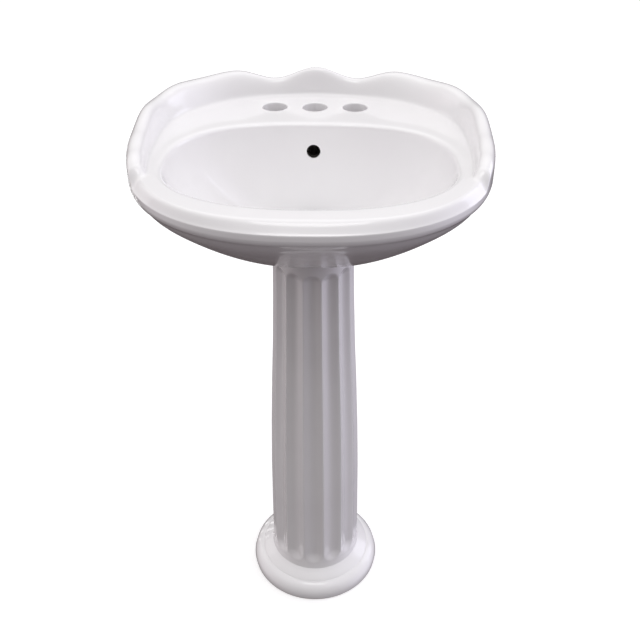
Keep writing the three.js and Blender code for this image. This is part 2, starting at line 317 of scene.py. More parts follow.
def flute_tree():
    """Cuts scoop-ended flutes with rounded ridges into the points marked as outside, around the Z axis."""
    sizes = ("Depth", "Low", "High", "ScoopBelow", "ScoopAbove")
    tree, given = new_tree("flutes", {
        "Geometry": "Geometry", "Count": "Int", **{size: "Float" for size in sizes}, "Material": "Material"})
    spot = add_node(tree, "GeometryNodeInputPosition").outputs[0]
    x, y, z = add_node(tree, "ShaderNodeSeparateXYZ", Vector=spot).outputs
    angle = calculate(tree, "ADD", calculate(tree, "ARCTAN2", y, x), math.pi / 2)
    turn = calculate(tree, "MULTIPLY", angle, calculate(tree, "DIVIDE", given["Count"], TURN))
    from_middle = calculate(tree, "SUBTRACT", turn, calculate(tree, "ROUND", turn))
    across = calculate(tree, "MULTIPLY", from_middle, 2.0)
    below = calculate(tree, "DIVIDE", calculate(tree, "SUBTRACT", given["Low"], z), given["ScoopBelow"])
    above = calculate(tree, "DIVIDE", calculate(tree, "SUBTRACT", z, given["High"]), given["ScoopAbove"])
    past = calculate(tree, "MAXIMUM", 0.0, calculate(tree, "MAXIMUM", below, above))
    past_squared = calculate(tree, "MULTIPLY", past, past)
    reach = calculate(tree, "ADD", calculate(tree, "MULTIPLY", across, across), past_squared)
    within = calculate(tree, "MAXIMUM", 0.0, calculate(tree, "SUBTRACT", 1.0, reach))
    hollow = calculate(tree, "POWER", within, 1.4)
    outside = add_node(tree, "GeometryNodeInputNamedAttribute", Name="outside").outputs["Attribute"]
    cut = calculate(tree, "MULTIPLY", calculate(tree, "MULTIPLY", hollow, given["Depth"]), outside)
    flat = add_node(tree, "ShaderNodeCombineXYZ", X=x, Y=y)
    inward = tree.nodes.new("ShaderNodeVectorMath")
    inward.operation = "NORMALIZE"
    tree.links.new(flat.outputs[0], inward.inputs[0])
    push = tree.nodes.new("ShaderNodeVectorMath")
    push.operation = "SCALE"
    tree.links.new(inward.outputs[0], push.inputs[0])
    tree.links.new(calculate(tree, "MULTIPLY", cut, -1.0), push.inputs["Scale"])
    moved = add_node(tree, "GeometryNodeSetPosition", Geometry=given["Geometry"], Offset=push.outputs[0])
    end_tree(tree, moved.outputs[0], given["Material"])
    return tree


def thread_tree():
    """Adds the ridge of a screw thread around the Z axis, from the height Low upwards."""
    tree, given = new_tree("thread", {
        "Geometry": "Geometry", "Radius": "Float", "Low": "Float", "Pitch": "Float", "Turns": "Float",
        "Ridge": "Float", "Material": "Material"})
    rise = calculate(tree, "MULTIPLY", given["Pitch"], given["Turns"])
    helix = add_node(tree, "GeometryNodeCurveSpiral", Resolution=32, Rotations=given["Turns"],
                     Start_Radius=given["Radius"], End_Radius=given["Radius"], Height=rise)
    upright = add_node(tree, "GeometryNodeSetCurveNormal", Curve=helix.outputs[0])
    upright.mode = "Z_UP"
    section = add_node(tree, "GeometryNodeCurvePrimitiveCircle", Resolution=4, Radius=given["Ridge"])
    swept = add_node(tree, "GeometryNodeCurveToMesh", Curve=upright.outputs[0],
                     Profile_Curve=section.outputs[0])
    swept.inputs["Fill Caps"].default_value = True
    lift = add_node(tree, "ShaderNodeCombineXYZ", Z=given["Low"])
    raised = add_node(tree, "GeometryNodeTransform", Geometry=swept.outputs[0], Translation=lift.outputs[0])
    both = tree.nodes.new("GeometryNodeJoinGeometry")
    tree.links.new(raised.outputs[0], both.inputs[0])
    tree.links.new(given["Geometry"], both.inputs[0])
    end_tree(tree, both.outputs[0], given["Material"])
    return tree


def round_tree():
    """Repeats a shape evenly around the Z axis, from a first angle."""
    tree, given = new_tree("around", {
        "Geometry": "Geometry", "Count": "Int", "First": "Float", "Step": "Float", "Material": "Material"})
    points = add_node(tree, "GeometryNodePoints", Count=given["Count"])
    index = add_node(tree, "GeometryNodeInputIndex").outputs[0]
    angle = calculate(tree, "ADD", calculate(tree, "MULTIPLY", index, given["Step"]), given["First"])
    turn = add_node(tree, "ShaderNodeCombineXYZ", Z=angle)
    copies = add_node(tree, "GeometryNodeInstanceOnPoints", Points=points.outputs[0],
                      Instance=given["Geometry"])
    tree.links.new(turn.outputs[0], copies.inputs["Rotation"])
    end_tree(tree, copies.outputs[0], given["Material"])
    return tree


def fill_in(obj, tree, **values):
    """Runs a tree on an object with its inputs given by name, and keeps the plain mesh."""
    modifier = obj.modifiers.new(tree.name, "NODES")
    modifier.node_group = tree
    for socket in tree.interface.items_tree:
        if socket.in_out == "INPUT" and socket.name in values:
            modifier[socket.identifier] = values[socket.name]
    return settle(obj)


# ---- Materials

def new_material(name, roughness, **constants):
    """A material whose shader has constants set, with object coordinates for its patterns."""
    made = bpy.data.materials.new(name)
    made.use_nodes = True
    nodes = made.node_tree.nodes
    shader = nodes["Principled BSDF"]
    shader.inputs["Roughness"].default_value = roughness
    for label, value in constants.items():
        shader.inputs[label.replace("_", " ")].default_value = value
    where = nodes.new("ShaderNodeTexCoord").outputs["Object"]
    return made, shader, where


def noise(material, where, scale, detail=3.0):
    made = material.node_tree.nodes.new("ShaderNodeTexNoise")
    made.inputs["Scale"].default_value = scale
    made.inputs["Detail"].default_value = detail
    material.node_tree.links.new(where, made.inputs["Vector"])
    return made.outputs["Fac"]


def ramp(material, factor, low, high, start=0.0, end=1.0):
    """Maps a factor between two colours."""
    made = material.node_tree.nodes.new("ShaderNodeValToRGB")
    made.color_ramp.elements[0].color = (*low, 1)
    made.color_ramp.elements[0].position = start
    made.color_ramp.elements[1].color = (*high, 1)
    made.color_ramp.elements[1].position = end
    material.node_tree.links.new(factor, made.inputs["Fac"])
    return made.outputs["Color"]


def spread(material, factor, low, high, start=0.3, end=0.7):
    """Maps a factor to a number between low and high."""
    made = material.node_tree.nodes.new("ShaderNodeMapRange")
    for label, value in (("From Min", start), ("From Max", end), ("To Min", low), ("To Max", high)):
        made.inputs[label].default_value = value
    material.node_tree.links.new(factor, made.inputs["Value"])
    return made.outputs["Result"]


def blend_colours(material, factor, low, high):
    made = material.node_tree.nodes.new("ShaderNodeMix")
    made.data_type = "RGBA"
    material.node_tree.links.new(factor, made.inputs["Factor"])
    material.node_tree.links.new(low, made.inputs["A"])
    if isinstance(high, bpy.types.NodeSocket):
        material.node_tree.links.new(high, made.inputs["B"])
    else:
        made.inputs["B"].default_value = (*high, 1)
    return made.outputs["Result"]


def relief(material, shader, *layers):
    """Stacks bumps on a shader, each a (height, strength, distance in metres) layer."""
    links = material.node_tree.links
    normal = None
    for height, strength, distance in layers:
        bump = material.node_tree.nodes.new("ShaderNodeBump")
        bump.inputs["Strength"].default_value = strength
        bump.inputs["Distance"].default_value = distance
        links.new(height, bump.inputs["Height"])
        if normal:
            links.new(normal, bump.inputs["Normal"])
        normal = bump.outputs["Normal"]
    links.new(normal, shader.inputs["Normal"])


def duct_shade_and_grime(material, parts):
    """1 inside the overflow duct, where the china is painted near black as painted shade and grime, and 0
    elsewhere.
    """
    tree = material.node_tree
    across = calculate(tree, "SUBTRACT", parts.outputs["Y"], (DUCT_Y - 3) * MM)
    x_squared = calculate(tree, "POWER", parts.outputs["X"], 2.0)
    y_squared = calculate(tree, "POWER", across, 2.0)
    away = calculate(tree, "SQRT", calculate(tree, "ADD", x_squared, y_squared))
    near = calculate(tree, "LESS_THAN", away, 11.6 * MM)
    under_deck = calculate(tree, "LESS_THAN", parts.outputs["Z"], (OVERFLOW_Z + 9) * MM)
    over_seat = calculate(tree, "GREATER_THAN", parts.outputs["Z"], (SEAT_Z + 3) * MM)
    return calculate(tree, "MULTIPLY", near, calculate(tree, "MULTIPLY", under_deck, over_seat))


def china():
    """Glazed china with soft ripples, bare clay where it stands on the floor or meets the wall, and painted
    shade with grime inside the overflow duct.
    """
    made, shader, where = new_material("glazed china", 0.2, IOR=1.52, Coat_Weight=0.7, Coat_Roughness=0.04)
    links = made.node_tree.links
    glaze = ramp(made, noise(made, where, 9), (0.885, 0.87, 0.882), (0.91, 0.9, 0.907), 0.3, 0.7)
    clay = ramp(made, noise(made, where, 420), (0.62, 0.58, 0.52), (0.72, 0.68, 0.62), 0.3, 0.7)
    parts = made.node_tree.nodes.new("ShaderNodeSeparateXYZ")
    links.new(where, parts.inputs[0])
    at_wall = spread(made, parts.outputs["Y"], 0, 1, (WALL_Y - 0.6) * MM, (WALL_Y - 0.2) * MM)
    at_floor = spread(made, parts.outputs["Z"], 1, 0, 0.4 * MM, 1.2 * MM)
    bare = calculate(made.node_tree, "MAXIMUM", at_wall, at_floor)
    body = blend_colours(made, bare, glaze, clay)
    # Painted shade with grime: the inside of the overflow duct is painted near black.
    links.new(blend_colours(made, duct_shade_and_grime(made, parts), body, (0.05, 0.045, 0.04)),
              shader.inputs["Base Color"])
    sheen = spread(made, noise(made, where, 25), 0.14, 0.24)
    links.new(calculate(made.node_tree, "MAXIMUM", sheen, calculate(made.node_tree, "MULTIPLY", bare, 0.8)),
              shader.inputs["Roughness"])
    relief(made, shader, (noise(made, where, 26, 1), 0.12, 0.004), (noise(made, where, 320, 2), 0.03, 0.0004))
    return made


def chrome():
    made, shader, where = new_material("polished chrome", 0.08, Metallic=1.0)
    links = made.node_tree.links
    links.new(ramp(made, noise(made, where, 60), (0.72, 0.73, 0.76), (0.82, 0.83, 0.85)),
              shader.inputs["Base Color"])
    links.new(spread(made, noise(made, where, 180), 0.05, 0.16), shader.inputs["Roughness"])
    relief(made, shader, (noise(made, where, 900), 0.03, 0.0002))
    return made


def brass():
    made, shader, where = new_material("cast brass", 0.34, Metallic=1.0)
    links = made.node_tree.links
    links.new(ramp(made, noise(made, where, 90, 6), (0.52, 0.36, 0.15), (0.76, 0.58, 0.28), 0.3, 0.7),
              shader.inputs["Base Color"])
    links.new(spread(made, noise(made, where, 300), 0.26, 0.46), shader.inputs["Roughness"])
    relief(made, shader, (noise(made, where, 700, 4), 0.25, 0.0004))
    return made


def rubber():
    made, shader, where = new_material("black rubber", 0.7)
    links = made.node_tree.links
    links.new(ramp(made, noise(made, where, 200, 5), (0.018, 0.018, 0.02), (0.045, 0.045, 0.05), 0.3, 0.7),
              shader.inputs["Base Color"])
    links.new(spread(made, noise(made, where, 500), 0.6, 0.85), shader.inputs["Roughness"])
    relief(made, shader, (noise(made, where, 1500, 3), 0.3, 0.0003))
    return made


def plastic():
    made, shader, where = new_material("white plastic", 0.4)
    links = made.node_tree.links
    links.new(ramp(made, noise(made, where, 40), (0.76, 0.76, 0.72), (0.84, 0.84, 0.81), 0.3, 0.7),
              shader.inputs["Base Color"])
    links.new(spread(made, noise(made, where, 350), 0.34, 0.5), shader.inputs["Roughness"])
    relief(made, shader, (noise(made, where, 1100, 2), 0.12, 0.0002))
    return made


def zinc():
    """Zinc plate with its spangle of small crystals."""
    made, shader, where = new_material("zinc plate", 0.36, Metallic=1.0)
    links = made.node_tree.links
    spangle = made.node_tree.nodes.new("ShaderNodeTexVoronoi")
    spangle.inputs["Scale"].default_value = 450
    links.new(where, spangle.inputs["Vector"])
    links.new(ramp(made, spangle.outputs["Distance"], (0.5, 0.53, 0.55), (0.68, 0.7, 0.71)),
              shader.inputs["Base Color"])
    links.new(spread(made, noise(made, where, 260), 0.28, 0.48), shader.inputs["Roughness"])
    relief(made, shader, (spangle.outputs["Distance"], 0.12, 0.0002))
    return made


FINISHES = dict(china=china(), chrome=chrome(), brass=brass(),
                rubber=rubber(), plastic=plastic(), zinc=zinc())
FLUTE_TREE = flute_tree()
THREAD_TREE = thread_tree()
ROUND_TREE = round_tree()


def thread(obj, r, low, pitch, turns, ridge, finish):
    return fill_in(obj, THREAD_TREE, Radius=(r - ridge) * MM, Low=low * MM, Pitch=pitch * MM,
                   Turns=float(turns), Ridge=ridge * MM, Material=FINISHES[finish])


def around(obj, count, finish, first=0.0, step=None):
    """Repeats an object around the Z axis. Angles are in degrees."""
    step = 360 / count if step is None else step
    return fill_in(obj, ROUND_TREE, Count=count, First=math.radians(first), Step=math.radians(step),
                   Material=FINISHES[finish])


# ---- The basin

AROUND = 128


def basin_angles():
    """Angles around the basin, closer together at the two ends of the rail."""
    fine = np.linspace(0, TURN, 2881)
    from_back = np.degrees(np.abs((fine - math.pi / 2 + math.pi) % TURN - math.pi))
    crowd = 1 + 1.6 * np.exp(-((from_back - RAIL_END) / 9) ** 2)
    run = np.concatenate([[0], np.cumsum((crowd[1:] + crowd[:-1]) / 2)])
    return np.interp(np.arange(AROUND) / AROUND * run[-1], run, fine)


def bowl_ring(a, sunk, grow=0.0):
    """One level of the bowl. sunk runs from 0 at the opening to 1 at the drain."""
    depth = math.sin(sunk * math.pi / 2)
    reach = math.cos(sunk * math.pi / 2) * (1 - 0.28 * depth)
    x, y = outline(OPENING, a, grow)
    flat = FLANGE_R + 2 + grow
    z = np.full(a.shape, DECK_Z - 6 - grow - (BOWL_DEPTH - 6) * depth)
    return np.stack([
        flat * np.cos(a) * (1 - reach) + x * reach,
        (DRAIN_Y + flat * np.sin(a)) * (1 - reach) + y * reach, z], 1)


def basin_rings():
    a = basin_angles()

    def level(x, y, z):
        return np.stack([x, y, np.broadcast_to(z, x.shape)], 1)

    rings = [bowl_ring(a, sunk) for sunk in (1, 0.95, 0.87, 0.77, 0.65, 0.52, 0.4, 0.29, 0.19, 0.1, 0.03)]
    for grow, drop in ((0.2, 4.2), (1.6, 1.8), (4.2, 0.4), (8, 0)):
        rings.append(level(*outline(OPENING, a, grow), DECK_Z - drop))

    foot_x, foot_y = outline(RAIL_FOOT, a)
    edge_x, edge_y = outline(OUTER, a)
    edge_y = np.minimum(edge_y, WALL_Y)
    from_back = np.degrees(np.abs(np.arctan2(edge_x, edge_y - OUTER["y"])))
    height = eased(RAIL_WAVE, from_back)
    no_rail = 1 - smooth(0, 12, height)
    lip_x, lip_y = outline(OPENING, a, 8)
    for share in (0.4, 0.8):
        rings.append(level(lip_x + (foot_x - lip_x) * share, lip_y + (foot_y - lip_y) * share, DECK_Z))
    for across, rise in ((0, 0.03), (0.06, 0.22), (0.14, 0.55), (0.24, 0.86), (0.38, 1.0),
                         (0.56, 1.03), (0.74, 0.98), (0.88, 0.82), (0.97, 0.56), (1, 0.25)):
        roll = 12 * smooth(0.42, 1.1, across) * no_rail
        rings.append(level(
            foot_x + (edge_x - foot_x) * across, foot_y + (edge_y - foot_y) * across,
            DECK_Z + height * rise - roll))

    skirt = 90 * (1 - smooth(92, 135, np.abs(edge_x))) * smooth(100, 150, edge_y)
    hem = DECK_Z - APRON - skirt
    rings.append(level(edge_x, edge_y, DECK_Z - 15))
    rings.append(level(edge_x, edge_y, (DECK_Z - 15 + hem + 8) / 2))
    rings.append(level(edge_x, edge_y, hem + 8))
    rings.append(level(edge_x * 0.993, edge_y - 1.4 * np.sign(edge_y), hem + 2.5))
    rings.append(level(edge_x * 0.976, edge_y - 4.8 * np.sign(edge_y), hem))
    for s in (0.95, 0.87, 0.76, 0.64, 0.52, 0.41, 0.31):
        under = SEAT_Z + (hem - SEAT_Z) * s ** 1.9
        rings.append(level(edge_x * s, COLUMN_Y + (edge_y - COLUMN_Y) * s, under))
    for r in (57, 53, 40):
        rings.append(level(r * np.cos(a), COLUMN_Y + r * np.sin(a), SEAT_Z))
    return rings


def flared_hole(name, r, low, high, flare=1.6, lip=2.5):
    """A cutter for a hole whose top edge is rounded: the surface is at height 0."""
    arc = [math.radians(t) for t in (0, 18, 36, 54, 72, 84)]
    rows = [(r, low)]
    rows += [(r + flare * (1 - math.cos(t)), -flare + flare * math.sin(t)) for t in arc]
    rows += [(r + flare + lip, 0.3), (r + flare + lip, high)]
    return turned(name, rows, 96, closed=False)


def rear_pocket():
    """The space behind the bowl, open below, where the faucet and wall bolts are reached."""
    a = angles(96)
    x, y = outline(POCKET, a)
    top = DECK_Z - DECK_THICK
    rings = []
    for z, inset in ((SEAT_Z - 30, 0), (top - 8, 0), (top - 2.4, 2.4), (top, 8)):
        rings.append(np.stack([x * (1 - inset / 150), 122 + (y - 122) * (1 - inset / 55), np.full(96, z)], 1))
    pocket = skin("pocket", rings)
    opening = outline(OPENING, a, DECK_THICK)
    bowl = [np.stack([*opening, np.full(96, DECK_Z + 1)], 1)]
    bowl += [bowl_ring(a, sunk, DECK_THICK) for sunk in (0, 0.12, 0.25, 0.4, 0.55, 0.7, 0.84, 0.94, 1)]
    combine(pocket, skin("bowl_wall", bowl))
    duct = turned("duct_wall", [(14, SEAT_Z - 1), (14, OVERFLOW_Z + 14)], 48, closed=False)
    combine(pocket, place(duct, y=DUCT_Y))
    boss = turned("boss", [(62, SEAT_Z - 1), (62, SEAT_Z + 24)], 96, closed=False)
    combine(pocket, place(boss, y=COLUMN_Y))
    return pocket


def basin():
    made = subdivide(skin("basin_china", basin_rings()), 2 if FINE else 1)
    combine(made, rear_pocket())
    for side in (-1, 0, 1):
        combine(made, place(flared_hole("hole", FAUCET_R, -40, 10), side * FAUCET_PITCH, FAUCET_Y, DECK_Z))
    combine(made, place(flared_hole("port", 8.5, -20, 10), 0, 69.5, OVERFLOW_Z, tip=90))
    duct = turned("duct", [(6.5, SEAT_Z + 4), (6.5, OVERFLOW_Z + 6)], 48, closed=False)
    combine(made, place(duct, y=DUCT_Y))
    drain = turned("drain", [(22.5, -40), (22.5, -3), (FLANGE_R + 0.6, -3), (FLANGE_R + 0.6, -0.8),
                             (FLANGE_R + 1.6, 0.2), (FLANGE_R + 3, 3)], 96, closed=False)
    combine(made, place(drain, 0, DRAIN_Y, FLOOR_Z))
    for side in (-1, 1):
        bolt_way = turned("bolt_way", [(BOLT_R + 2, -40), (BOLT_R + 2, 5)], 48, closed=False)
        combine(made, place(bolt_way, side * BOLT_X, WALL_Y, BOLT_Z, tip=-90))
    return mend(made)


# ---- The pedestal

def block(name, low, high):
    """A plain cutter between two corners."""
    corners = [(low[0], low[1]), (high[0], low[1]), (high[0], high[1]), (low[0], high[1])]
    return skin(name, [[(x, y, z) for x, y in corners] for z in (low[2], high[2])])


def pedestal():
    rows = [(43.6, COLUMN_TOP), (51, COLUMN_TOP), (52.2, COLUMN_TOP - 0.6)]
    scoops = np.arange(COLUMN_TOP - 2, FLUTES["High"] - 2, -1.2)
    shaft = np.arange(FLUTES["High"] - 12, FLUTES["Low"] + 12, -12.0)
    foot = np.arange(FLUTES["Low"] + 4, 44, -2.0)
    zs, rs = zip(*COLUMN[::-1])
    rows += [(float(np.interp(z, zs, rs)), float(z)) for z in (*scoops, *shaft, *foot)]
    rows += BASE
    outside_rows = len(rows)
    rows += HOLLOW
    count = FLUTES["Count"] * (32 if FINE else 14)
    made = turned("pedestal_china", rows, count)
    outside = made.data.attributes.new("outside", "FLOAT", "POINT")
    outside.data.foreach_set("value", np.repeat([1.0, 0.0], [outside_rows * count, len(HOLLOW) * count]))
    sizes = {label: size * MM for label, size in FLUTES.items() if label != "Count"}
    fill_in(made, FLUTE_TREE, Count=FLUTES["Count"], Material=FINISHES["china"], **sizes)
    place(made, y=COLUMN_Y)
    combine(made, block("slot", (-30, COLUMN_Y + 20, 12), (30, COLUMN_Y + 120, 560)))
    combine(made, block("tab", (-30, COLUMN_Y + 54, 0), (30, COLUMN_Y + 88, 12)), "UNION")
    combine(made, place(turned("bolt_way", [(5, -5), (5, 30)], 48, closed=False), y=FLOOR_BOLT_Y))
    return made


# ---- The waste

def drain_body():
    corners = [(17, TAIL_TOP - 20), (19.6, TAIL_TOP - 20), (19.6, FLOOR_Z - 8), (21.5, FLOOR_Z - 2.4),
               (FLANGE_R, FLOOR_Z - 2.4), (FLANGE_R, FLOOR_Z - 1.2), (26, FLOOR_Z + 0.8), (24, FLOOR_Z - 0.4),
               (17.5, FLOOR_Z - 5), (17, FLOOR_Z - 9)]
    made = turned("drain_body_chrome", rounded(corners, 0.8))
    for low, high in (((-26, -3), (26, 3)), ((-3, -26), (3, 26))):
        combine(made, block("slot", (*low, SEAT_Z + 4), (*high, SEAT_Z + 14)))
    thread(made, 20, TAIL_TOP - 18, 1.8, 22, 0.7, "chrome")
    return place(made, y=DRAIN_Y)


def on_drain(made):
    return place(made, y=DRAIN_Y)


def stopper_cap():
    corners = [(AXIS, STOPPER_Z - 1.5), (12, STOPPER_Z - 1.5), (12, STOPPER_Z), (22, STOPPER_Z),
               (22.4, STOPPER_Z + 1.2), (20, STOPPER_Z + 2.6), (9, STOPPER_Z + 3.6), (AXIS, STOPPER_Z + 3.8)]
    return on_drain(solid("stopper_cap_chrome", corners, 1.2))


def stopper_stem():
    low = SEAT_Z - 22
    corners = [(AXIS, low), (4.2, low), (4.2, STOPPER_Z - 9), (8.5, STOPPER_Z - 6),
               (8.5, STOPPER_Z - 1.8), (AXIS, STOPPER_Z - 1.8)]
    return on_drain(solid("stopper_stem_plastic", corners, 0.6))


def stopper_guide():
    """A hub on four spokes in a rim."""
    spoke = around(block("spoke", (5.5, -1.2, SEAT_Z - 29), (15.5, 1.2, SEAT_Z - 25)), 4, "plastic", 45)
    hub = ring("stopper_guide_plastic", 4.5, 7, SEAT_Z - 36, SEAT_Z - 12)
    return on_drain(join(hub, ring("rim", 14.5, 17 - GAP, SEAT_Z - 30, SEAT_Z - 24), spoke))


def slip_nut(name, bore, r, low, high, x=0.0, y=0.0):
    """A turned nut with a bevelled shoulder and ribs for the hand."""
    body = nut(name, bore, r, low, high, 8)
    rib = ring("rib", AXIS, 1.1, low + 2.2, high - 2.2, 0.5, 16)
    place(rib, r * math.cos(math.pi / 8) - 0.4)
    return place(join(body, around(rib, 24, "chrome", 7.5)), x, y)


def pipe(name, path, beads=()):
    """A pipe along (y, z) points in the plane x = 0, with a rolled bead at each given end."""
    path = np.asarray(path, float)
    along = np.gradient(path, axis=0)
    along /= np.hypot(along[:, 0], along[:, 1])[:, None]
    a = angles(64)
    run = np.concatenate([[0], np.cumsum(np.hypot(*np.diff(path, axis=0).T))])
    swell = sum(1.2 * np.exp(-((run - (run[-1] * bead)) / 1.6) ** 2) for bead in beads) + np.zeros(len(run))

    def level(i, r):
        (y, z), (dy, dz) = path[i], along[i]
        return np.stack([r * np.cos(a), y + r * np.sin(a) * dz, z - r * np.sin(a) * dy], 1)

    outside = [level(i, PIPE_R + swell[i]) for i in range(len(path))]
    inside = [level(i, PIPE_R - PIPE_WALL) for i in range(len(path))]
    return skin(name, outside + inside[::-1], closed=True)


def straight(start, end, step=1.5):
    start, end = np.array(start, float), np.array(end, float)
    steps = max(2, int(np.hypot(*(end - start)) / step))
    return [start + (end - start) * i / steps for i in range(steps)]


def bend(y, z, r, first, last, steps=40):
    """Points of an arc between two angles in degrees."""
    turn = np.radians(np.linspace(first, last, steps + 1))
    return [(y + r * math.cos(t), z + r * math.sin(t)) for t in turn]


def tailpiece():
    top = (DRAIN_Y, TAIL_TOP - 20 - GAP)
    foot = (DRAIN_Y, TAIL_LOW + 8 + GAP)
    return pipe("tailpiece_chrome", straight(top, foot) + [foot])


def trap_bend():
    path = straight((DRAIN_Y, TAIL_LOW + 8), (DRAIN_Y, TAIL_LOW - 14))
    path += bend(DRAIN_Y + BEND_R, TAIL_LOW - 14, BEND_R, 180, 360)
    far = DRAIN_Y + 2 * BEND_R
    path += straight((far, TAIL_LOW - 13), (far, TAIL_LOW + 8)) + [(far, TAIL_LOW + 8)]
    return pipe("trap_bend_chrome", path)


def trap_arm():
    y = DRAIN_Y + 2 * BEND_R
    path = straight((y, TAIL_LOW + 8 + GAP), (y, ARM_Z - 27)) + bend(y + 26, ARM_Z - 26, 26, 180, 90)
    path += straight((y + 27, ARM_Z), (WALL_Y - GAP, ARM_Z)) + [(WALL_Y - GAP, ARM_Z)]
    return pipe("trap_arm_chrome", path)


def escutcheon():
    corners = [(PIPE_R + GAP, 0), (36, 0), (36, 1.5), (28, 6), (20, 8.5), (PIPE_R + GAP, 8.5)]
    return place(turned("wall_escutcheon_chrome", rounded(corners, 1.6)), 0, WALL_Y, ARM_Z, tip=90)


# ---- Fixings

def hanger_bolt(side):
    """A wall bolt with a domed end, threaded along its length."""
    length = SKIRT_THICK + 17
    corners = [(AXIS, 0), (BOLT_R - 0.4, 0), (BOLT_R - 0.4, length), (AXIS, length)]
    made = solid("hanger_bolt_zinc", corners, 1.0, 48)
    thread(made, BOLT_R, 1, 1.25, (length - 3) / 1.25, 0.5, "zinc")
    return place(made, side * BOLT_X, WALL_Y, BOLT_Z, tip=90)


def hanger_washer(side):
    made = ring("hanger_washer_plastic", BOLT_R + GAP, 13, SKIRT_THICK + GAP, SKIRT_THICK + 3 + GAP)
    return place(made, side * BOLT_X, WALL_Y, BOLT_Z, tip=90)


def hanger_nut(side):
    made = nut("hanger_nut_zinc", BOLT_R + GAP, 8, SKIRT_THICK + 3 + 2 * GAP, SKIRT_THICK + 11)
    return place(made, side * BOLT_X, WALL_Y, BOLT_Z, tip=90)


def seat_pads():
    """Three pads on the top of the column, 60 degrees apart around its front."""
    pad = place(ring("seat_pads_rubber", AXIS, 4, COLUMN_TOP + GAP, SEAT_Z - GAP, 0.6, 32), 47.7)
    return place(around(pad, 3, "rubber", -150, 60), y=COLUMN_Y)


def floor_bolt():
    corners = [(AXIS, 1), (3.2, 1), (3.2, 14.3), (7.5, 14.3), (7.5, 17), (5, 20), (AXIS, 20)]
    made = solid("floor_bolt_zinc", corners, 0.6, 64)
    thread(made, 3.5, 2, 1.2, 9, 0.5, "zinc")
    combine(made, block("driver_slot", (-9, -0.7, 18.4), (9, 0.7, 22)))
    return place(made, y=FLOOR_BOLT_Y)


def drain_gasket():
    corners = [(20.3, SEAT_Z - 8), (25.5, SEAT_Z - 8), (25.5, SEAT_Z - 3),
               (24, SEAT_Z - GAP), (20.3, SEAT_Z - GAP)]
    return turned("drain_gasket_rubber", rounded(corners, 0.8))


def waste_pieces():
    """The rings and nuts of the waste and trap, as (object, node, body, finish) rows."""
    flange_seal = ring("flange_seal_rubber", 22, FLANGE_R - 1, FLOOR_Z - 2.95, FLOOR_Z - 2.45, 0.2)
    yield on_drain(flange_seal), "flange_seal", "sink", "rubber"
    yield on_drain(drain_gasket()), "drain_gasket", "sink", "rubber"
    washer = ring("drain_washer_plastic", 20.3, 25.5, SEAT_Z - 10, SEAT_Z - 8.3)
    yield on_drain(washer), "drain_washer", "sink", "plastic"
    locknut = nut("drain_locknut_brass", 20.3, 26, SEAT_Z - 19, SEAT_Z - 10.3)
    yield on_drain(locknut), "drain_locknut", "sink", "brass"
    tail_nut = slip_nut("tailpiece_nut_chrome", 20.3, 25.4, TAIL_TOP - 28, TAIL_TOP - 12, y=DRAIN_Y)
    yield tail_nut, "tailpiece_nut", "sink", "chrome"
    for where, y in (("inlet", DRAIN_Y), ("outlet", DRAIN_Y + 2 * BEND_R)):
        trap_nut = slip_nut(f"trap_{where}_nut_chrome", PIPE_R + GAP, 23.6, TAIL_LOW - 2, TAIL_LOW + 13, y=y)
        yield trap_nut, f"trap_{where}_nut", "sink", "chrome"
        name = f"trap_{where}_washer_plastic"
        trap_washer = ring(name, PIPE_R + GAP, 20, TAIL_LOW + 13.3, TAIL_LOW + 17, 1)
        yield place(trap_washer, y=y), f"trap_{where}_washer", "sink", "plastic"
    seal = ring("stopper_seal_rubber", 12.3, 18.5, STOPPER_Z - 2.4, STOPPER_Z - GAP, 0.9)
    yield on_drain(seal), "stopper_seal", "stopper", "rubber"


def pieces():
    """Every piece, with the nodes it stands for, its body and its finish."""
    yield basin(), "basin", "sink", "china"
    yield pedestal(), "pedestal", "sink", "china"
    yield drain_body(), "drain_body", "sink", "chrome"
    yield stopper_cap(), "stopper_cap", "stopper", "chrome"
    yield stopper_stem(), "stopper_stem", "stopper", "plastic"
    yield stopper_guide(), "stopper_guide", "sink", "plastic"
    yield from waste_pieces()
    yield tailpiece(), "tailpiece", "sink", "chrome"
    yield trap_bend(), "trap_bend", "sink", "chrome"
    yield trap_arm(), "trap_arm", "sink", "chrome"
    yield escutcheon(), "wall_escutcheon", "sink", "chrome"
    for name, side in (("left", -1), ("right", 1)):
        yield hanger_bolt(side), f"hanger_bolt_{name}", "sink", "zinc"
        yield hanger_washer(side), f"hanger_washer_{name}", "sink", "plastic"
        yield hanger_nut(side), f"hanger_nut_{name}", "sink", "zinc"
    yield seat_pads(), ("seat_pad_1", "seat_pad_2", "seat_pad_3"), "sink", "rubber"
    yield floor_bolt(), "floor_bolt", "sink", "zinc"
    floor_washer = place(ring("floor_washer_zinc", 3.8, 10, 12.3, 14, 0.4), y=FLOOR_BOLT_Y)
    yield floor_washer, "floor_washer", "sink", "zinc"


for piece, nodes, body, finish in pieces():
    nodes = (nodes,) if isinstance(nodes, str) else nodes
    if len(nodes) == 1:
        piece.name = f"{nodes[0]}_{finish}"
    soften_faces(piece)
    piece.data.materials.clear()
    piece.data.materials.append(FINISHES[finish])
    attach(piece, body)
    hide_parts(*nodes)


# ---- Stage, light and camera

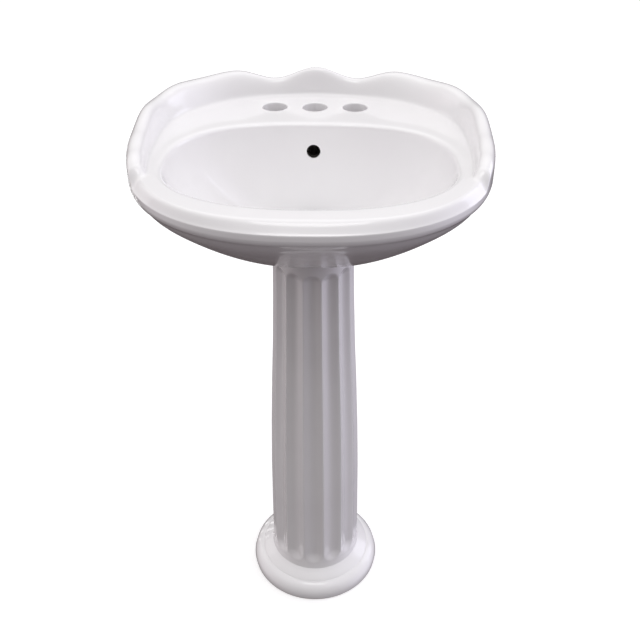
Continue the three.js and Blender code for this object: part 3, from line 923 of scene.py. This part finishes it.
def make_stage():
    """A pale floor that curves up into a backdrop all round. It is lit, but lights nothing itself."""
    around_floor = 128
    sweep = [(4.2 + 2.0 * math.sin(t), 2.0 * (1 - math.cos(t))) for t in np.radians(np.arange(0, 91, 6))]
    a = angles(around_floor)
    rows = [*sweep, (6.2, 5.5)]
    points = [(r * math.cos(t) / MM, r * math.sin(t) / MM, z / MM) for r, z in rows for t in a]
    faces = [tuple(range(around_floor))]
    for i in range(len(rows) - 1):
        for j in range(around_floor):
            k = (j + 1) % around_floor
            here = i * around_floor
            there = here + around_floor
            faces.append((here + j, there + j, there + k, here + k))
    floor = mesh_object("floor", points, faces)
    floor.data.shade_smooth()
    made, shader, where = new_material("pale floor", 0.8, Emission_Strength=0.3)
    shader.inputs["Emission Color"].default_value = (1, 1, 1, 1)
    made.node_tree.links.new(ramp(made, noise(made, where, 3), (0.86, 0.86, 0.86), (0.88, 0.88, 0.88)),
                             shader.inputs["Base Color"])
    floor.data.materials.append(made)
    floor.visible_diffuse = False
    floor.visible_glossy = False
    floor.visible_shadow = False


def area_light(name, where, target, size, power, colour=(1, 1, 1)):
    data = bpy.data.lights.new(name, "AREA")
    data.shape = "RECTANGLE"
    data.size, data.size_y = size
    data.energy = power
    data.color = colour
    lamp = bpy.data.objects.new(name, data)
    lamp.location = where
    lamp.rotation_euler = (Vector(target) - Vector(where)).to_track_quat("-Z", "Y").to_euler()
    bpy.context.scene.collection.objects.link(lamp)


def make_lights():
    area_light("top", (0.0, 0.7, 2.6), (0, 0.1, 0.7), (2.0, 1.6), 3)
    area_light("bowl", (0.0, -0.9, 2.6), (0, 0, 0.7), (1.2, 0.8), 7)
    area_light("right", (2.0, 0.9, 1.0), (0, 0, 0.5), (1.0, 1.8), 8, (0.86, 0.87, 1.0))
    area_light("left", (-2.0, 0.9, 1.0), (0, 0, 0.5), (1.0, 1.8), 3, (1.0, 0.97, 0.97))
    for i in range(3):
        area_light("pane", (-1.55 + 0.24 * i, 1.3 + 0.18 * i, 0.0), (-0.19, 0, 0.72), (0.08, 0.8), 0.4)


def make_world():
    """Soft light that is bright overhead, pale from the two sides, and dim from the front and below."""
    world = bpy.data.worlds.new("studio")
    world.use_nodes = True
    tree = world.node_tree
    links = tree.links
    parts = tree.nodes.new("ShaderNodeSeparateXYZ")
    links.new(tree.nodes.new("ShaderNodeTexCoord").outputs["Generated"], parts.inputs[0])
    x, _, z = parts.outputs
    shade = tree.nodes.new("ShaderNodeValToRGB")
    shade.color_ramp.interpolation = "EASE"
    shade.color_ramp.elements[0].position = 0.47
    shade.color_ramp.elements[0].color = (0.095, 0.08, 0.083, 1)
    shade.color_ramp.elements[1].position = 1.0
    shade.color_ramp.elements[1].color = (1.05, 1.045, 1.045, 1)
    links.new(calculate(tree, "MULTIPLY_ADD", z, 0.5, 0.5), shade.inputs["Fac"])
    total = shade.outputs["Color"]
    for side, colour in ((1, (1.1, 1.06, 1.26)), (-1, (0.72, 0.66, 0.69))):
        toward = calculate(tree, "MAXIMUM", 0.0, calculate(tree, "MULTIPLY", x, side))
        lobe = calculate(tree, "POWER", toward, 6.0)
        added = tree.nodes.new("ShaderNodeMix")
        added.data_type = "RGBA"
        added.blend_type = "ADD"
        added.inputs["B"].default_value = (*colour, 1)
        links.new(lobe, added.inputs["Factor"])
        links.new(total, added.inputs["A"])
        total = added.outputs["Result"]
    links.new(total, tree.nodes["Background"].inputs["Color"])
    bpy.context.scene.world = world


def make_camera():
    data = bpy.data.cameras.new("camera")
    data.sensor_width = 36
    data.lens = 45.0
    data.shift_x = -0.0034
    data.shift_y = 0.0142
    camera = bpy.data.objects.new("camera", data)
    yaw = Matrix.Rotation(math.radians(1.35), 4, "Z")
    pitch = Matrix.Rotation(math.radians(90 - 35.06), 4, "X")
    camera.matrix_world = Matrix.Translation((0.0327, -0.8619, 1.0879)) @ yaw @ pitch
    bpy.context.scene.collection.objects.link(camera)
    bpy.context.scene.camera = camera


make_stage()
make_lights()
make_world()
make_camera()
bpy.context.scene.view_settings.view_transform = "Standard"
